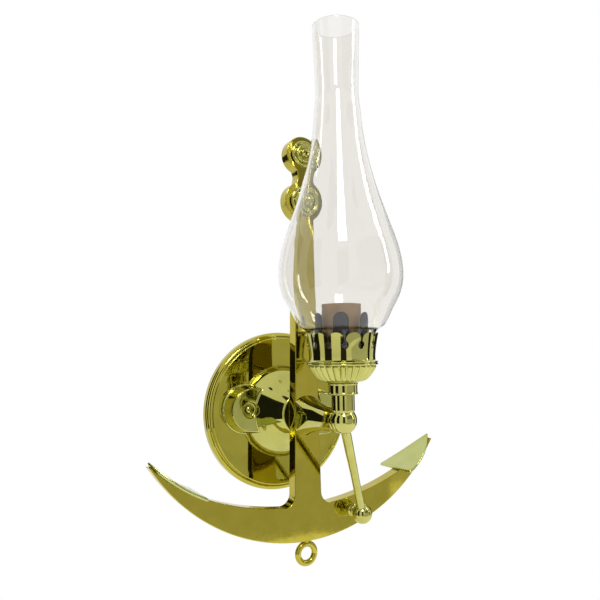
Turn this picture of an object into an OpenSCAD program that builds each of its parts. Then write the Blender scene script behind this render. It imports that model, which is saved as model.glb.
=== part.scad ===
// Wall light shaped as a ship's anchor, with an oil-lamp burner and a glass chimney.
// Origin: centre of the back plate on the wall. The wall is the plane Y = 0,
// forward from the wall is -Y, up is +Z. Millimetres.

/* [Back plate] */
// Outer radius of the dished back plate
plate_r = 71; // [62:1:85]
// How far the plate's face stands off the wall
plate_depth = 10; // [8.5:0.5:16]
// Thickness of the plate's sheet
plate_wall = 1.5; // [1:0.1:2.5]
// Radius of the rolled edge between rim and face
plate_edge_r = 4.5; // [2:0.5:6.5]
// Height of the small step round the face
plate_step = 0.8; // [0.4:0.1:1.5]
// Radius of the hole for the supply wires
plate_wire_r = 9; // [7:0.5:12]

/* [Wall boss] */
// Radius of the boss where it meets the plate
boss_r = 40; // [36:0.5:48]
// Distance from the centre to each lug's centre
lug_x = 36; // [30:0.5:42]
// Radius of a lug at the plate
lug_r = 21; // [17:0.5:24]
// How much a lug narrows from the plate to its face
lug_draft = 2.4; // [1:0.1:4]
// Height of a lug above the plate
lug_h = 17; // [12:0.5:20]
// Length of the boss from the plate to the anchor's back
boss_len = 37.5; // [32:0.5:50]
// Radius of the boss where it meets the anchor
boss_nose_r = 17; // [14:0.5:20]
// Thickness of the boss's front wall
boss_front_wall = 6; // [4:0.5:8]
// Thickness of the boss's side wall
boss_side_wall = 6; // [4:0.5:9]
// Turn of the boss about the arm's axis, left lug up, degrees
boss_turn = 6; // [0:1:12]
// Distance between the two fixing screws
screw_span = 76; // [66:1:84]
// Radius of the counterbore round a fixing screw
counterbore_r = 6.6; // [5.5:0.1:8]
// Depth of the counterbore
counterbore_h = 4.5; // [3:0.5:7]

/* [Anchor] */
// Thickness of the anchor casting
anchor_t = 11; // [8:0.5:14]
// Radius of the arc under the arms
arm_low_r = 159.6; // [150:0.1:170]
// Height of the centre of the arc under the arms
arm_low_z = 56; // [50:0.5:60]
// Radius of the arc above the arms
arm_top_r = 240.5; // [230:0.5:250]
// Height of the arms' upper edge at the shank
crown_top_z = -75.5; // [-80:0.5:-72]
// Half width of the shank at its foot
shank_foot = 12.8; // [10:0.1:16]
// Half width of the shank under the head
shank_head = 8; // [6:0.1:10]
// Height where the shank meets the head
head_z = 165; // [150:1:180]
// Radius of the fillet between shank and arms
shank_fillet = 9.5; // [6:0.5:14]
// Radius of the lower lobe of the head
low_lobe_r = 17.5; // [15:0.5:20]
// Height from the foot of the head to the lower lobe's centre
low_lobe_up = 18; // [16:0.5:20]
// Radius of the upper lobe of the head
top_lobe_r = 15.6; // [13:0.1:18]
// Distance between the lobes' centres
lobe_pitch = 41.5; // [38:0.5:46]
// Half width of the neck between the lobes
neck_half = 5.2; // [4:0.1:7]

/* [Palms] */
// Distance from the shank's axis to a palm's back edge
palm_x = 94; // [88:0.5:98]
// Width of a palm across its back edge
palm_w = 45.5; // [38:0.5:54]
// Distance from the shank's axis to a palm's tip
palm_tip_x = 134; // [131.5:0.5:136]
// Radius of the curve along a palm
palm_curve_r = 123; // [115:1:135]
// Thickness of a palm
palm_t = 2.6; // [2:0.1:4]
// Radius of a palm's leaf-shaped edge, seen from above
palm_leaf_r = 62; // [50:1:90]

/* [Crown ring and rosettes] */
// Radius of the ring's centre line
ring_r = 7.9; // [6.5:0.1:10]
// Radius of the ring's section
ring_wire_r = 2.6; // [2:0.1:3.2]
// Length of the neck between crown and ring
ring_neck = 1.8; // [1:0.1:4]
// Radius of the ring's neck
ring_neck_r = 3.4; // [2.8:0.1:4]
// Radius of the upper rosette
top_rosette_r = 11.5; // [9:0.5:13]
// Height of the upper rosette above the casting
top_rosette_h = 5.5; // [4:0.5:8]
// Radius of the lower rosette
low_rosette_r = 13; // [10:0.5:15]
// Height of the lower rosette above the casting
low_rosette_h = 9; // [6:0.5:12]

/* [Arm and elbow] */
// Distance from the wall to the lamp's axis
lamp_y = 115; // [110:0.5:130]
// Radius of the trumpet arm at the anchor
arm_base_r = 16.5; // [13:0.5:19]
// Radius of the trumpet arm at the elbow
arm_end_r = 9.2; // [8:0.1:10]
// Exponent of the trumpet's flare
arm_flare = 2.2; // [1.6:0.1:3]
// Length of the elbow's side socket from the lamp's axis
elbow_socket = 12; // [11:0.5:15]
// Radius of the ball under the elbow
elbow_ball_r = 10.4; // [9.8:0.1:12]
// Height of the ball's centre above the arm's axis
elbow_ball_z = 1; // [0:0.25:2]
// Radius of the elbow's upright
elbow_r = 8.9; // [8:0.1:9.5]
// Height of the elbow's top above the arm's axis
elbow_top = 20.8; // [18:0.2:26]
// Radius of the collar on the elbow
collar_r = 11.7; // [10.5:0.1:14]
// Height of the collar
collar_h = 9; // [6:0.5:12]

/* [Stay] */
// Radius of the stay rod at the elbow
stay_top_r = 4.5; // [3.6:0.1:5]
// Radius of the stay rod at the ball
stay_foot_r = 3.2; // [2.8:0.1:4]
// Radius of the ball at the foot of the stay
stay_ball_r = 8.4; // [7:0.1:10]
// Sideways distance of the stay's ball from the shank's axis
stay_x = 43.5; // [38:0.5:50]
// Height of the stay's ball
stay_z = -84; // [-88:0.5:-80]
// Length of the turned stem between ball and anchor
stay_stem_len = 7.5; // [5:0.5:12]
// Radius of the stem's beads
stem_bead_r = 4.8; // [3.6:0.1:6]

/* [Threaded tube] */
// Radius of the threaded tubes that join the parts
tube_r = 5; // [4:0.1:5.5]
// Wall of the threaded tubes
tube_wall = 1.5; // [1:0.1:1.8]
// Thickness of a lock nut
nut_h = 3; // [2:0.5:5]
// Across-corners radius of a lock nut
nut_r = 8; // [7.5:0.1:9.5]
// Radius of the washer under the lock nut
washer_r = 9; // [8:0.1:11]
// Thickness of the washer
washer_h = 1; // [0.5:0.1:2]

/* [Burner] */
// Radius of the cup under its ribs
cup_foot_r = 13; // [12:0.5:15]
// Radius of the cup's bowl at the rim
cup_rim_r = 27.6; // [26.5:0.1:31]
// Height of the cup from collar to rim
cup_h = 15; // [13:0.5:18]
// Thickness of the cup's sheet
cup_wall = 1.4; // [1:0.1:2]
// Number of ribs round the cup
cup_ribs = 28; // [20:1:36]
// Height of the gallery from the cup's rim to the tops of its tabs
gallery_h = 22.8; // [18:0.2:28]
// Radius of the gallery at its waist
gallery_waist_r = 25.5; // [24.5:0.1:28]
// How much the gallery flares from waist to top
gallery_flare = 2.8; // [1:0.1:4]
// Thickness of the gallery's sheet
gallery_wall = 0.8; // [0.5:0.1:1.2]
// Number of keyhole slots round the gallery
gallery_slots = 13; // [9:1:15]
// Radius of the round foot of a slot
slot_hole_r = 2.3; // [1.6:0.1:3]
// Width of a slot's narrow neck
slot_neck = 1.6; // [1:0.1:2.4]
// Number of spring fingers inside the gallery
fingers = 6; // [4:1:7]
// Radius of the circle that the fingers stand on
finger_circle_r = 20.6; // [19:0.1:21.2]
// Width of a finger
finger_w = 11.6; // [8:0.1:14]
// Height of the fingers' tips above the gallery's floor
finger_h = 35; // [26:0.5:40]
// Thickness of a finger
finger_t = 0.7; // [0.5:0.1:1]

/* [Chimney] */
// Radius of the chimney's foot
glass_foot_r = 24.2; // [23.5:0.1:24.3]
// Thickness of the glass
glass_wall = 2; // [1.5:0.1:2.4]
// Length of the chimney
glass_h = 264.3; // [220:0.1:320]
// Largest radius of the chimney's bulb
glass_bulb_r = 48.4; // [42:0.1:56]
// Radius of the chimney's narrowest part
glass_neck_r = 17.2; // [16:0.1:22]
// Radius of the chimney's mouth
glass_mouth_r = 19; // [17.5:0.1:24]

/* [Lampholder] */
// Outer radius of the brown sleeve
sleeve_r = 15.2; // [14.5:0.1:16.5]
// Thickness of the sleeve
sleeve_wall = 1.2; // [0.8:0.1:1.4]
// Height of the sleeve's top above the cup's rim
sleeve_top = 45.5; // [38:0.5:52]
// Radius of the ceramic body
holder_r = 12.5; // [11.5:0.1:13]
// Height of the ceramic body
holder_h = 34; // [30:0.5:38]
// Inner radius of the screw shell
shell_r = 7.2; // [6.8:0.1:8]
// Thickness of the screw shell
shell_wall = 0.8; // [0.5:0.1:1.2]
// Depth of the screw shell
shell_h = 24; // [18:0.5:28]
// Height of the shell's foot above the body's foot
shell_foot = 16; // [14:0.5:18]

/* [Wall strap and wiring] */
// Length of the strap
strap_len = 100; // [96:1:108]
// Width of the strap
strap_w = 24; // [20:1:30]
// Thickness of the strap
strap_t = 2.5; // [2:0.1:3.5]
// Distance between the strap's wall holes
strap_span = 50.8; // [46:0.1:56]
// Radius of a wall hole
strap_hole_r = 2.4; // [2:0.1:3]
// Radius of a stand-off pillar on the strap
pillar_r = 4.2; // [3.6:0.1:5]
// Radius of the fixing screws
screw_r = 2; // [1.5:0.1:2.2]
// Radius of a fixing screw's head
screw_head_r = 4.1; // [3.6:0.1:5]
// Width of the terminal block
block_w = 22; // [20:0.5:26]
// Height of the terminal block
block_h = 11; // [9:0.5:14]
// Thickness of the terminal block
block_t = 8; // [7:0.5:10]
// Radius of an insulated lead
lead_r = 1; // [0.7:0.1:1.2]

/* [Fits] */
// Gap between a threaded tube or screw and its hole
fit_gap = 0.1; // [0.05:0.01:0.15]
// Gap round a screw that only passes through
free_gap = 0.35; // [0.2:0.05:0.6]
// Gap between the chimney and what it stands on or in
glass_gap = 0.3; // [0.2:0.05:0.5]

/* [Hidden] */
$fn = 64;

brass = [0.62, 0.55, 0.16];
pale_brass = [0.76, 0.72, 0.32];
steel = [0.62, 0.63, 0.64];
big = 400;
eps = 0.01;

plate_y = plate_depth;
anchor_back = plate_y + boss_len;
anchor_front = anchor_back + anchor_t;
anchor_mid = anchor_back + anchor_t / 2;
tube_bore = tube_r - tube_wall;
tube_hole = tube_r + fit_gap;
arm_top_z = crown_top_z + arm_top_r;
crown_z = arm_low_z - arm_low_r;
low_lobe_z = head_z + low_lobe_up;
top_lobe_z = low_lobe_z + lobe_pitch;
palm_back_z = arm_top_z - sqrt(pow(arm_top_r, 2) - pow(palm_x, 2));
palm_lean = asin(palm_x / arm_top_r);
palm_cx = palm_x - palm_curve_r * sin(palm_lean);
palm_cz = palm_back_z + palm_curve_r * cos(palm_lean);
palm_tip_z = palm_cz - sqrt(pow(palm_curve_r, 2) - pow(palm_tip_x - palm_cx, 2));
stud_r = screw_r;
stud_depth = 7;
elbow_face = lamp_y - elbow_socket;
arm_len = elbow_face - anchor_front;
arm_bore = tube_r + 1.5;
stay_ball_y = anchor_front + stay_stem_len + sqrt(pow(stay_ball_r, 2) - pow(stem_bead_r - 0.8, 2));
collar_top = elbow_top + collar_h;
cup_rim_z = collar_top + cup_h;
floor_z = cup_rim_z + 2.6;
floor_t = 1;
glass_z = floor_z + floor_t + glass_gap;
holder_z = collar_top + cup_wall + nut_h + fit_gap;
shell_z = holder_z + shell_foot;
lead_x = 1.4;

// Turns the local z axis forward from the wall and the local y axis up
module forward(d = 0) {
    translate([0, -d, 0]) rotate([90, 0, 0]) children();
}

// Places its children at both fixing screws, in forward() coordinates
module at_screws() {
    rotate([0, 0, -boss_turn])
        for (side = [-1, 1]) translate([side * screw_span / 2, 0, 0]) children();
}

function mix(a, b, t) = a + (b - a) * t;

// Point on a Catmull-Rom curve between p1 and p2
function curve_point(p0, p1, p2, p3, t) =
    0.5 * (2 * p1 + (p2 - p0) * t + (2 * p0 - 5 * p1 + 4 * p2 - p3) * t * t
    + (3 * p1 - p0 - 3 * p2 + p3) * t * t * t);

// Smooth curve through the points, with n steps between neighbours
function smooth(points, n) = let (last = len(points) - 1) concat(
    [for (i = [0:last - 1], k = [0:n - 1])
        curve_point(points[max(i - 1, 0)], points[i], points[i + 1],
            points[min(i + 2, last)], k / n)],
    [points[last]]);

// Centre of the arc of radius r from p to q that bulges to the left of p to q
function arc_centre(p, q, r) = let (
    mid = (p + q) / 2, d = q - p, h = sqrt(r * r - (d * d) / 4))
    mid + h * [d[1], -d[0]] / norm(d);

// Quarter round from angle a to b about c
function arc(c, r, a, b, n = 8) =
    [for (i = [0:n]) c + r * [cos(mix(a, b, i / n)), sin(mix(a, b, i / n))]];

// Washer-like disc along the local z axis
module disc(r, h, bore = 0) {
    difference() {
        cylinder(r = r, h = h);
        if (bore > 0) translate([0, 0, -1]) cylinder(r = bore, h = h + 2);
    }
}

// Threaded tube along the local z axis
module tube(h) {
    disc(tube_r, h, tube_bore);
}

// Hexagonal lock nut on a threaded tube
module lock_nut() {
    difference() {
        cylinder(r = nut_r, h = nut_h, $fn = 6);
        translate([0, 0, -1]) cylinder(r = tube_hole, h = nut_h + 2);
    }
}

/* Wall strap, a flat bar with two threaded stand-off pillars */
pillar_len = plate_depth - plate_wall - strap_t;
strap_wire_r = plate_wire_r;

module wall_strap() {
    color(steel) forward() difference() {
        union() {
            intersection() {
                translate([-strap_len / 2, -strap_w / 2, 0]) cube([strap_len, strap_w, strap_t]);
                cylinder(r = strap_len / 2, h = strap_t);
            }
            at_screws() cylinder(r = pillar_r, h = strap_t + pillar_len);
        }
        at_screws() translate([0, 0, -1]) cylinder(r = screw_r + fit_gap, h = plate_depth + 2);
        for (side = [-1, 1]) translate([side * strap_span / 2, 0, -1])
            cylinder(r = strap_hole_r, h = strap_t + 2);
        translate([0, 0, -1]) cylinder(r = strap_wire_r, h = strap_t + 2);
        translate([earth_x, 0, -1]) cylinder(r = earth_r + fit_gap, h = strap_t + 2);
    }
}

earth_r = 1.6;
earth_x = -(strap_wire_r + strap_span / 2 - strap_hole_r) / 2;
earth_head_r = 2.9;
earth_head_h = 2;

module earth_screw() {
    color("goldenrod") translate([earth_x, 0, 0]) forward() {
        translate([0, 0, 0.2]) cylinder(r = earth_r, h = strap_t);
        translate([0, 0, strap_t]) difference() {
            cylinder(r = earth_head_r, h = earth_head_h);
            translate([-earth_head_r, -0.4, earth_head_h - 0.8])
                cube([2 * earth_head_r, 0.8, 1]);
        }
    }
}

/* Dished back plate */
plate_face_r = plate_r - plate_edge_r - 1.2;

module plate_section(inset) {
    edge = plate_edge_r;
    top = plate_depth - plate_step;
    polygon(concat(
        [[0, -1 + inset], [0, plate_depth - inset], [plate_face_r - inset / 2, plate_depth - inset]],
        [[plate_face_r + plate_step - inset / 2, top - inset]],
        arc([plate_r - edge, top - edge], edge - inset, 90, 0),
        [[plate_r - inset, -1 + inset]]));
}

module back_plate() {
    color(brass) forward() difference() {
        intersection() {
            rotate_extrude() difference() {
                plate_section(0);
                translate([0, -2]) plate_section(plate_wall);
                plate_section(plate_wall);
            }
            cylinder(r = plate_r + 1, h = plate_depth + 1);
        }
        translate([0, 0, -1]) cylinder(r = plate_wire_r, h = plate_depth + 2);
        at_screws() cylinder(r = screw_r + free_gap, h = plate_depth + 1);
    }
}

/* Wall boss: hollow domed casting with two lugs */
lug_foot_h = 2.2;
lug_foot_out = 1;

// Outline of the dome from the plate to the anchor, as [radius, height]
dome_points = [[boss_r, 3.5], [boss_r - 1.6, 9], [boss_r - 6.4, 17], [boss_r - 12.2, 24],
    [boss_nose_r + 5.2, boss_len - 6], [boss_nose_r, boss_len]];

module dome() {
    rotate_extrude() polygon(concat([[0, 0], [boss_r + lug_foot_out, 0],
        [boss_r + lug_foot_out, lug_foot_h], [boss_r, lug_foot_h + 0.4]],
        smooth(dome_points, 6), [[0, boss_len]]));
}

module lug(side) {
    face_r = lug_r - lug_draft;
    translate([side * lug_x, 0, 0]) {
        cylinder(r1 = lug_r, r2 = face_r, h = lug_h);
        cylinder(r = lug_r + lug_foot_out, h = lug_foot_h);
    }
    rotate([90, 0, side * 90]) linear_extrude(height = lug_x)
        polygon([[-lug_r, 0], [lug_r, 0], [face_r, lug_h], [-face_r, lug_h]]);
}

module boss_cavity() {
    inner_len = boss_len - boss_front_wall;
    back_r = boss_r - boss_side_wall - 3;
    translate([0, 0, -1]) cylinder(r = back_r, h = 13);
    translate([0, 0, 12 - eps])
        cylinder(r1 = back_r, r2 = washer_r + 2.5, h = inner_len - 12 + eps);
}

module wall_boss() {
    color(pale_brass) forward(plate_y) difference() {
        union() {
            dome();
            rotate([0, 0, -boss_turn]) {
                lug(-1);
                lug(1);
            }
        }
        boss_cavity();
        cylinder(r = tube_hole, h = boss_len + 1);
        at_screws() {
            translate([0, 0, -1]) cylinder(r = screw_r + free_gap, h = lug_h + 2);
            translate([0, 0, lug_h - counterbore_h]) cylinder(r = counterbore_r, h = boss_len);
        }
    }
}

screw_head_h = 3;

// Round-headed screw with a cross recess, head upwards from z = 0
module round_screw(r, head_r, head_h, len) {
    dome_r = (head_r * head_r + head_h * head_h) / (2 * head_h);
    difference() {
        union() {
            translate([0, 0, -len]) cylinder(r = r, h = len + head_h / 2);
            intersection() {
                translate([0, 0, head_h - dome_r]) sphere(r = dome_r);
                cylinder(r = head_r, h = head_h);
            }
        }
        for (turn = [0, 90]) rotate([0, 0, turn + 20])
            translate([-head_r * 0.55, -head_r * 0.1, head_h * 0.45])
                cube([head_r * 1.1, head_r * 0.2, head_h]);
    }
}

module boss_screws() {
    seat = plate_y + lug_h - counterbore_h;
    color(pale_brass) forward(seat) at_screws()
        round_screw(screw_r, screw_head_r, screw_head_h, seat - 0.5);
}

/* Terminal block inside the boss, standing on the plate's face */
block_z = plate_wire_r + 2;
way_r = 1.5;
way_pitch = block_w / 3;
way_h = block_t * 0.55;
clamp_r = 1.5;

module terminal_block() {
    color("ivory") forward(plate_y) difference() {
        translate([-block_w / 2, block_z, 0]) cube([block_w, block_h, block_t]);
        for (i = [-1:1]) translate([i * way_pitch, 0, 0]) {
            translate([0, block_z - 1, way_h]) rotate([-90, 0, 0])
                cylinder(r = way_r, h = block_h + 2, $fn = 24);
            translate([0, block_z + block_h / 2, way_h]) cylinder(r = clamp_r + fit_gap, h = block_t, $fn = 24);
        }
    }
}

module terminal_screws() {
    color("goldenrod") forward(plate_y) for (i = [-1:1])
        translate([i * way_pitch, block_z + block_h / 2, way_h + way_r]) difference() {
            cylinder(r = clamp_r, h = block_t - way_h - way_r - 0.3, $fn = 24);
            translate([-clamp_r, -0.25, block_t - way_h - way_r - 0.9])
                cube([2 * clamp_r, 0.5, 1]);
        }
}

/* Threaded tube that clamps boss, anchor and arm together */
boss_inside = plate_y + boss_len - boss_front_wall;
nipple_in_arm = 9;

module boss_nipple() {
    back = boss_inside - washer_h - nut_h - 1;
    color(steel) forward(back) tube(anchor_front + nipple_in_arm - back);
}

module boss_washer() {
    color(steel) forward(boss_inside - washer_h) disc(washer_r, washer_h, tube_hole);
}

module boss_locknut() {
    color(steel) forward(boss_inside - washer_h - nut_h) lock_nut();
}

/* Anchor casting */
module arms_outline() {
    difference() {
        translate([0, arm_low_z]) circle(r = arm_low_r, $fn = 180);
        intersection() {
            translate([0, arm_top_z]) circle(r = arm_top_r, $fn = 180);
            translate([-palm_x, -big]) square([2 * palm_x, 2 * big]);
        }
        for (side = [0, 1]) mirror([side, 0]) intersection() {
            translate([palm_cx, palm_cz]) circle(r = palm_curve_r, $fn = 180);
            translate([palm_x - eps, -big]) square([big, 2 * big]);
        }
        translate([-big, palm_tip_z - 1.2]) square([2 * big, big]);
    }
}

function shank_half(z) =
    mix(shank_foot, shank_head, (z - crown_top_z) / (head_z - crown_top_z));

// Fillet between the shank's right side and the arm's upper edge
module shank_fillet_outline() {
    edge = shank_half(crown_top_z + shank_fillet);
    cx = edge + shank_fillet;
    cz = arm_top_z - sqrt(pow(arm_top_r - shank_fillet, 2) - pow(cx, 2));
    difference() {
        translate([edge - 2, cz - shank_fillet - 3]) square([shank_fillet + 2, shank_fillet + 3]);
        translate([cx, cz]) circle(r = shank_fillet);
    }
}

module head_outline() {
    waist_r = (lobe_pitch - low_lobe_r * 0.62 - top_lobe_r * 0.62) / 2;
    waist_z = mix(low_lobe_z, top_lobe_z, low_lobe_r / (low_lobe_r + top_lobe_r));
    translate([0, low_lobe_z]) circle(r = low_lobe_r);
    translate([0, top_lobe_z]) circle(r = top_lobe_r);
    difference() {
        translate([-neck_half - waist_r / 2, low_lobe_z])
            square([2 * neck_half + waist_r, lobe_pitch]);
        for (side = [-1, 1])
            translate([side * (neck_half + waist_r), waist_z]) circle(r = waist_r);
    }
}

module anchor_outline() {
    foot_z = crown_z + 12;
    arms_outline();
    polygon([[-shank_half(foot_z), foot_z], [shank_half(foot_z), foot_z],
        [shank_head, head_z], [0, head_z + low_lobe_up], [-shank_head, head_z]]);
    for (side = [0, 1]) mirror([side, 0]) shank_fillet_outline();
    head_outline();
}

module anchor() {
    color(brass) forward(anchor_back) difference() {
        linear_extrude(height = anchor_t) anchor_outline();
        translate([0, 0, -1]) cylinder(r = tube_hole, h = anchor_t + 2);
        for (z = [low_lobe_z, top_lobe_z]) translate([0, z, anchor_t - stud_depth])
            cylinder(r = stud_r + fit_gap, h = stud_depth + 1);
        translate([stay_x, stay_z, anchor_t - stud_depth])
            cylinder(r = stud_r + fit_gap, h = stud_depth + 1);
        translate([0, crown_z - 1, anchor_t / 2]) rotate([-90, 0, 0])
            cylinder(r = ring_wire_r + fit_gap, h = ring_stud + 1);
    }
}

/* Palms: curved leaf-shaped blades across the arms' ends */
module leaf_outline() {
    half = palm_w / 2;
    corner = [palm_x, half];
    tip = [palm_tip_x, 0];
    c = arc_centre(corner, tip, palm_leaf_r);
    intersection() {
        translate([palm_x, -palm_w]) square([palm_tip_x, 2 * palm_w]);
        translate([c[0], c[1]]) circle(r = palm_leaf_r, $fn = 96);
        translate([c[0], -c[1]]) circle(r = palm_leaf_r, $fn = 96);
    }
}

module palm() {
    intersection() {
        forward(anchor_mid - palm_w) linear_extrude(height = 2 * palm_w) difference() {
            translate([palm_cx, palm_cz]) circle(r = palm_curve_r, $fn = 180);
            translate([palm_cx, palm_cz]) circle(r = palm_curve_r - palm_t, $fn = 180);
            translate([-big, palm_cz]) square([2 * big, big]);
        }
        translate([0, -anchor_mid, -big / 2]) linear_extrude(height = big) leaf_outline();
    }
}

module right_palm() {
    color(pale_brass) palm();
}

module left_palm() {
    color(pale_brass) mirror([1, 0, 0]) palm();
}

/* Ring under the crown, with a stud into the casting */
ring_stud = 10;
ring_z = crown_z - ring_neck - ring_r - ring_wire_r * 0.6;

module crown_ring() {
    color(brass) translate([0, -anchor_mid, 0]) {
        translate([0, 0, ring_z]) rotate([90, 0, 0])
            rotate_extrude() translate([ring_r, 0]) circle(r = ring_wire_r, $fn = 32);
        translate([0, 0, crown_z - ring_neck - ring_wire_r * 0.6 - 0.5])
            cylinder(r = ring_neck_r, h = ring_neck + ring_wire_r * 0.6 + 0.5);
        translate([0, 0, crown_z - eps]) cylinder(r = ring_wire_r, h = ring_stud - 1);
    }
}

/* Turned rosettes on the head's lobes */
module rosette(section) {
    rotate_extrude() polygon(section);
    translate([0, 0, 1 - stud_depth]) cylinder(r = stud_r, h = stud_depth - 1 + eps);
}

module top_rosette() {
    r = top_rosette_r;
    h = top_rosette_h;
    dimple_r = 1.5;
    section = concat([[0, 0], [r, 0]], arc([r - 1.3, 1.3], 1.3, 0, 120, 6),
        [[r - 3.2, h * 0.3]], arc([r - 4.9, h * 0.42], 1.5, 0, 140, 6),
        [[r - 7.2, h * 0.55]], arc([dimple_r + 1.1, h - 1.1], 1.1, 10, 170, 8),
        [[dimple_r * 0.9, h - 3], [0, h - 3]]);
    color(brass) translate([0, 0, top_lobe_z]) forward(anchor_front) rosette(section);
}

module low_rosette() {
    r = low_rosette_r;
    h = low_rosette_h;
    ball_r = r * 0.44;
    seat = 2.4;
    section = concat([[0, 0], [r, 0]], arc([r - 1.5, 1.5], 1.5, 0, 120, 6),
        [[r - 4, 1.6], [ball_r, 1.8]],
        arc([0, h - ball_r], ball_r, asin((seat - h + ball_r) / ball_r), 90, 12));
    color(brass) translate([0, 0, low_lobe_z]) forward(anchor_front) rosette(section);
}

/* Trumpet arm from the anchor to the elbow */
arm_steps = 18;

module trumpet_arm() {
    profile = [for (i = [0:arm_steps]) let (t = i / arm_steps)
        [arm_end_r + (arm_base_r - arm_end_r) * pow(1 - t, arm_flare), t * arm_len]];
    color(pale_brass) forward(anchor_front) difference() {
        intersection() {
            rotate_extrude() polygon(concat([[0, 0]], profile, [[0, arm_len]]));
            translate([-shank_half(0), -big / 2, -1]) cube([2 * shank_half(0), big, arm_len + 2]);
        }
        translate([0, 0, -1]) cylinder(r = tube_hole, h = nipple_in_arm + 2);
        translate([0, 0, nipple_in_arm]) cylinder(r = arm_bore, h = arm_len - 2 * nipple_in_arm);
        translate([0, 0, arm_len - nipple_in_arm - 1]) cylinder(r = tube_hole, h = nipple_in_arm + 2);
    }
}

/* Elbow with a ball below and a socket towards the arm */
nipple_in_elbow = elbow_socket - tube_r;

// Directions of the stay, from the elbow's ball to the stay's ball
stay_from = [0, -lamp_y, elbow_ball_z];
stay_to = [stay_x, -stay_ball_y, stay_z];
stay_vec = stay_to - stay_from;
stay_len = norm(stay_vec);
stay_tilt = acos(stay_vec[2] / stay_len);
stay_turn = atan2(stay_vec[1], stay_vec[0]);
stay_top_seat = sqrt(pow(elbow_ball_r, 2) - pow(stay_top_r, 2));
stay_foot_seat = sqrt(pow(stay_ball_r, 2) - pow(stay_foot_r, 2));
stay_stud = 3.5;

// Places its children with the local z axis along the stay, from the elbow's ball
module along_stay() {
    translate(stay_from) rotate([0, stay_tilt, stay_turn]) children();
}

module elbow() {
    color(pale_brass) difference() {
        translate([0, -lamp_y, 0]) {
            translate([0, 0, elbow_ball_z]) sphere(r = elbow_ball_r);
            cylinder(r = elbow_r, h = elbow_top);
            forward(-elbow_socket) cylinder(r = arm_end_r, h = elbow_socket);
        }
        translate([0, -lamp_y, 0]) {
            cylinder(r = tube_hole, h = elbow_top + 1);
            sphere(r = tube_hole);
            forward(-elbow_socket - 1) cylinder(r = tube_hole, h = elbow_socket + 1);
        }
        along_stay() {
            translate([0, 0, stay_top_seat]) cylinder(r = elbow_ball_r, h = elbow_ball_r);
            translate([0, 0, stay_top_seat - stay_stud]) cylinder(r = stud_r + fit_gap, h = stay_stud + 1);
        }
    }
}

module elbow_nipple() {
    start = elbow_face - nipple_in_arm + 1;
    color(steel) forward(start) tube(nipple_in_arm - 1 + nipple_in_elbow);
}

/* Stay from the elbow down to the anchor's arm */
module stay_rod() {
    rod_len = stay_len - stay_top_seat - stay_foot_seat;
    color(pale_brass) along_stay() {
        translate([0, 0, stay_top_seat]) cylinder(r1 = stay_top_r, r2 = stay_foot_r, h = rod_len);
        translate([0, 0, stay_top_seat - stay_stud + 0.5])
            cylinder(r = stud_r, h = stay_stud + 1);
        translate([0, 0, stay_top_seat + rod_len - 1]) cylinder(r = stud_r, h = stay_stud);
    }
}

module stay_ball() {
    neck = stem_bead_r * 0.62;
    l = stay_stem_len;
    section = concat([[0, 0], [stem_bead_r + 0.4, 0], [stem_bead_r + 0.4, l * 0.16],
        [neck, l * 0.26]], arc([stem_bead_r - l * 0.17, l * 0.5], l * 0.17, -80, 80, 8),
        [[neck, l * 0.74], [stem_bead_r - 0.8, l * 0.84], [stem_bead_r - 0.8, l + 2], [0, l + 2]]);
    color(brass) difference() {
        union() {
            translate([stay_x, 0, stay_z]) forward(anchor_front) {
                rotate_extrude() polygon(section);
                translate([0, 0, 1 - stud_depth]) cylinder(r = stud_r, h = stud_depth);
            }
            translate(stay_to) sphere(r = stay_ball_r);
        }
        along_stay() {
            translate([0, 0, stay_len - stay_foot_seat - stay_ball_r])
                cylinder(r = stay_ball_r, h = stay_ball_r);
            translate([0, 0, stay_len - stay_foot_seat - 1])
                cylinder(r = stud_r + fit_gap, h = stay_stud + 0.5);
        }
    }
}

/* Collar and the threaded tube through it */
nipple_foot = elbow_top - 9;
nipple_top = holder_z + 6;

module socket_nipple() {
    color(steel) translate([0, -lamp_y, nipple_foot]) tube(nipple_top - nipple_foot);
}

module collar() {
    lip = 0.7;
    color(pale_brass) translate([0, -lamp_y, elbow_top]) difference() {
        rotate_extrude() polygon([[0, 0], [collar_r - lip, 0], [collar_r, lip],
            [collar_r, collar_h - lip], [collar_r - lip, collar_h], [0, collar_h]]);
        translate([0, 0, -1]) cylinder(r = tube_hole, h = collar_h + 2);
    }
}

/* Ribbed cup that carries the gallery */
rib_foot_r = 1.6;
rib_head_r = 2.5;
rib_in = 1.8;
rib_foot_z = 2;
flange_h = 1.6;

// Radius over the ribs at height z above the collar
function cup_r(z) = mix(cup_foot_r, cup_rim_r, pow(z / cup_h, 0.5));

// Outline of the plain bowl, moved inwards by d, from height z0 to the flange
function bowl_line(d, z0) = [for (i = [0:4]) let (z = mix(z0, cup_h - flange_h, i / 4))
    [cup_r(max(z, rib_foot_z * 0.4)) - rib_in - d, z]];

module cup_rib() {
    end_z = cup_h - flange_h / 2;
    start = [cup_r(rib_foot_z) - rib_foot_r, rib_foot_z];
    run = [cup_r(end_z) - rib_head_r - 0.6, end_z + 1] - start;
    translate([start[0], 0, start[1]]) rotate([0, atan2(run[0], run[1]), 0])
        cylinder(r1 = rib_foot_r, r2 = rib_head_r, h = norm(run) + 2, $fn = 24);
}

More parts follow.
